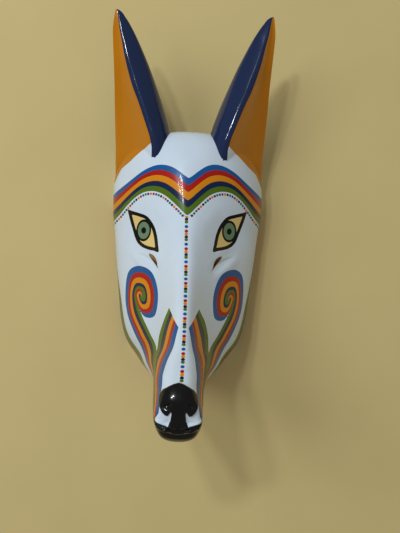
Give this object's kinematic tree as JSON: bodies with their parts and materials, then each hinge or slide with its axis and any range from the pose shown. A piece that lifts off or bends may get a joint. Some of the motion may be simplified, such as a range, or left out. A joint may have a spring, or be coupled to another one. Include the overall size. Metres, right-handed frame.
{
  "type": "coyote mask",
  "caption": "Hollowed animal face mask with a long blunt muzzle, upright pointed ears, viewing slits and a flat back rim.",
  "frame": {"origin": "under the middle of the mask's bounding box, on the flat plane of its back rim", "axes": "+Z out of the face towards the nose, +Y from the chin to the ear tips, +X to the right as seen from the front"},
  "size_m": [0.1662, 0.405, 0.2093],
  "materials": {
    "painted_wood": "glossy enamel paint on carved wood"
  },
  "bodies": {
    "root": {"coyote_mask": "painted_wood"}
  },
  "joints": []
}
